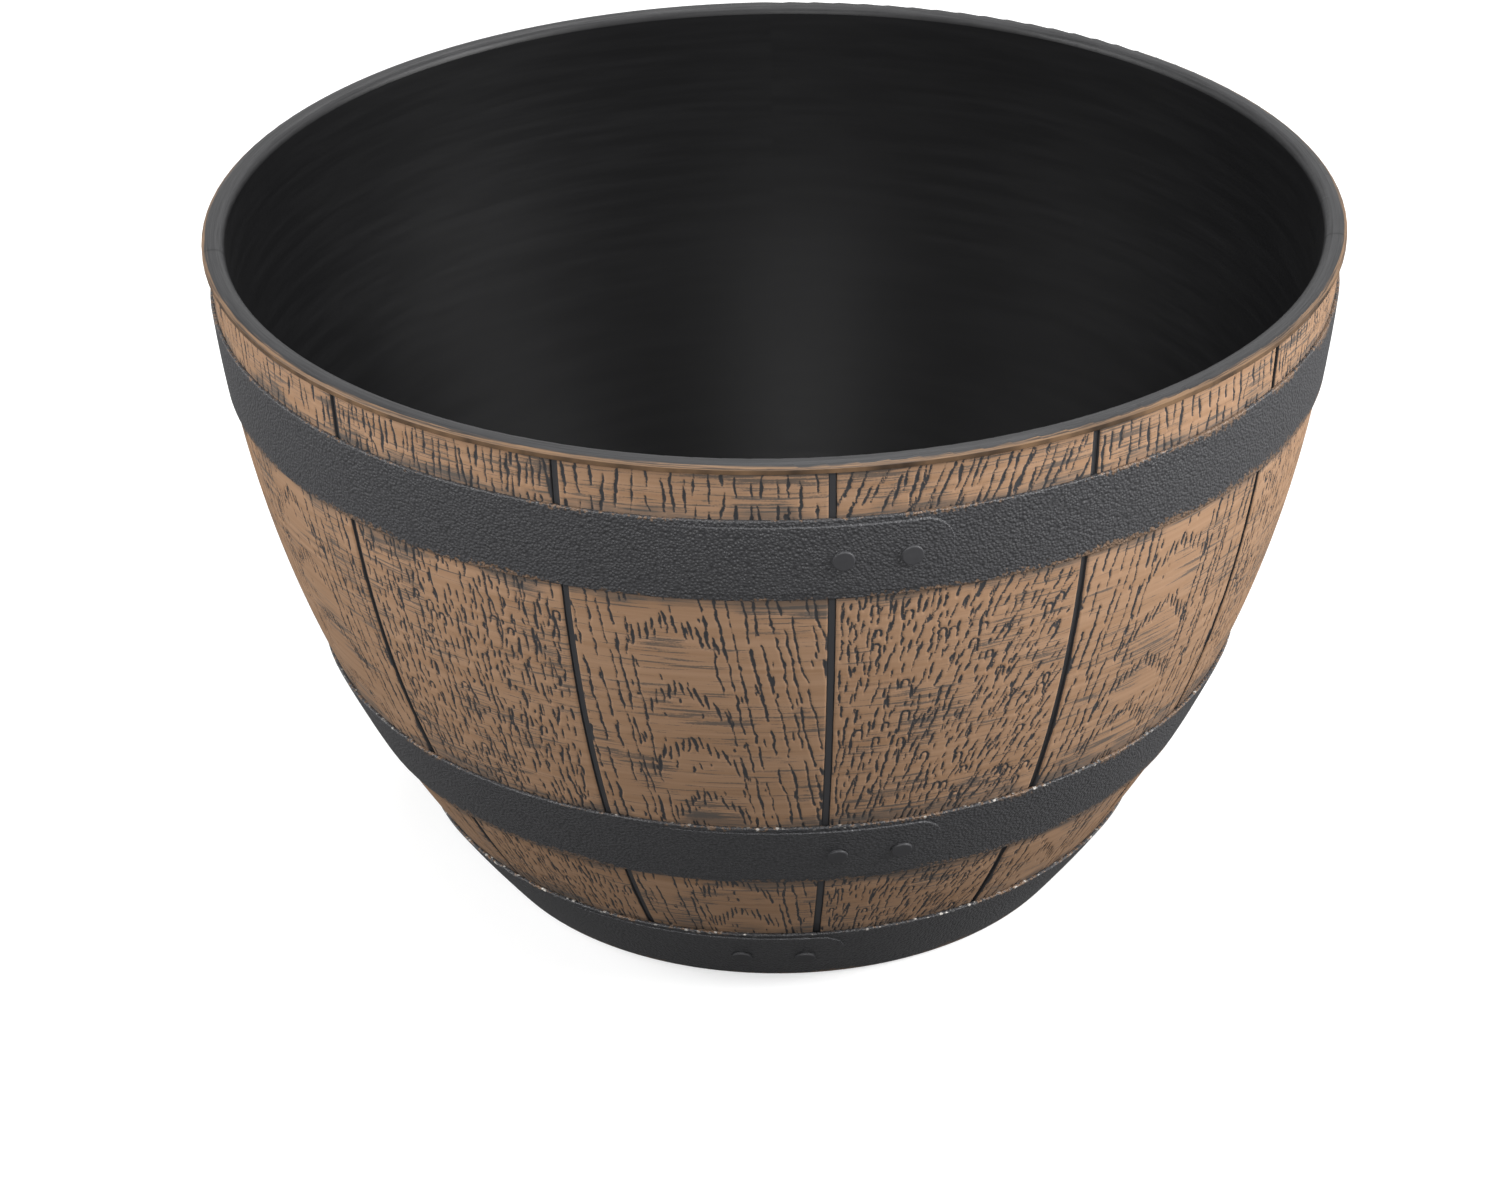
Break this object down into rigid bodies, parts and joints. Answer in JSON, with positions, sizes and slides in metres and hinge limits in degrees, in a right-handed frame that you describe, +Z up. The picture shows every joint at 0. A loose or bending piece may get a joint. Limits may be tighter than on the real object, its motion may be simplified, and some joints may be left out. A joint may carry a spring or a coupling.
{
  "type": "barrel planter",
  "caption": "Half-barrel planter: a black resin tub dressed with brown wood-grained staves and riveted dark hoops, open at the top, with a pull-out drain plug in its floor.",
  "frame": {"origin": "centre of the foot, on the floor that the planter stands on", "axes": "+Z up along the planter's axis, -Y towards the front, where the hoops' laps are, +X right"},
  "size_m": [0.3939, 0.394, 0.2472],
  "materials": {
    "tub_resin": "moulded black resin, satin",
    "stave_resin": "embossed wood grain, brown paint brushed over black",
    "hoop_resin": "moulded pebble texture, satin charcoal",
    "rivet_resin": "smooth moulded head, satin charcoal",
    "plug_rubber": "moulded black rubber"
  },
  "bodies": {
    "planter": {"tub": "tub_resin", "stave_01": "stave_resin", "stave_02": "stave_resin", "stave_03": "stave_resin", "stave_04": "stave_resin", "stave_05": "stave_resin", "stave_06": "stave_resin", "stave_07": "stave_resin", "stave_08": "stave_resin", "stave_09": "stave_resin", "stave_10": "stave_resin", "stave_11": "stave_resin", "stave_12": "stave_resin", "stave_13": "stave_resin", "stave_14": "stave_resin", "upper_hoop": "hoop_resin", "lower_hoop": "hoop_resin", "foot_hoop": "hoop_resin", "upper_hoop_rivets": "rivet_resin", "lower_hoop_rivets": "rivet_resin", "foot_hoop_rivets": "rivet_resin"},
    "drain_plug": {"drain_plug": "plug_rubber"}
  },
  "joints": [
    {"name": "drain_plug_pull", "type": "slide", "parent": "planter", "child": "drain_plug", "axis": [0, 0, 1], "range_m": [0, 0.26]}
  ]
}
